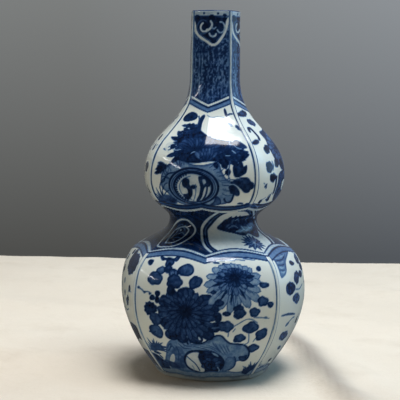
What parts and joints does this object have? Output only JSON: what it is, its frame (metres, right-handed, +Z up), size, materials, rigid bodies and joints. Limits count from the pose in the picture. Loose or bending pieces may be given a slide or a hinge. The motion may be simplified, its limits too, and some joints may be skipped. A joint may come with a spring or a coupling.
{
  "type": "double gourd vase",
  "caption": "Moulded porcelain vase of double gourd form with a straight faceted neck and ribbed panels, in blue and white.",
  "frame": {"origin": "centre of the foot ring on the plane that the vase stands on", "axes": "+Z up along the vase's axis, -Y out of the front panel, +X to the right of it"},
  "size_m": [0.1298, 0.1298, 0.25],
  "materials": {
    "glazed_porcelain": "clear glossy glaze over cobalt painting",
    "fired_slip": "glazed inside, slightly duller than the outside"
  },
  "bodies": {
    "root": {"base_bowl": "glazed_porcelain", "belly_dome": "glazed_porcelain", "waist_collar": "glazed_porcelain", "upper_bowl": "glazed_porcelain", "upper_dome": "glazed_porcelain", "neck_tube": "glazed_porcelain", "belly_luting_ring": "fired_slip", "shoulder_luting_ring": "fired_slip", "waist_luting_ring": "fired_slip", "bulb_luting_ring": "fired_slip", "neck_luting_ring": "fired_slip"}
  },
  "joints": []
}
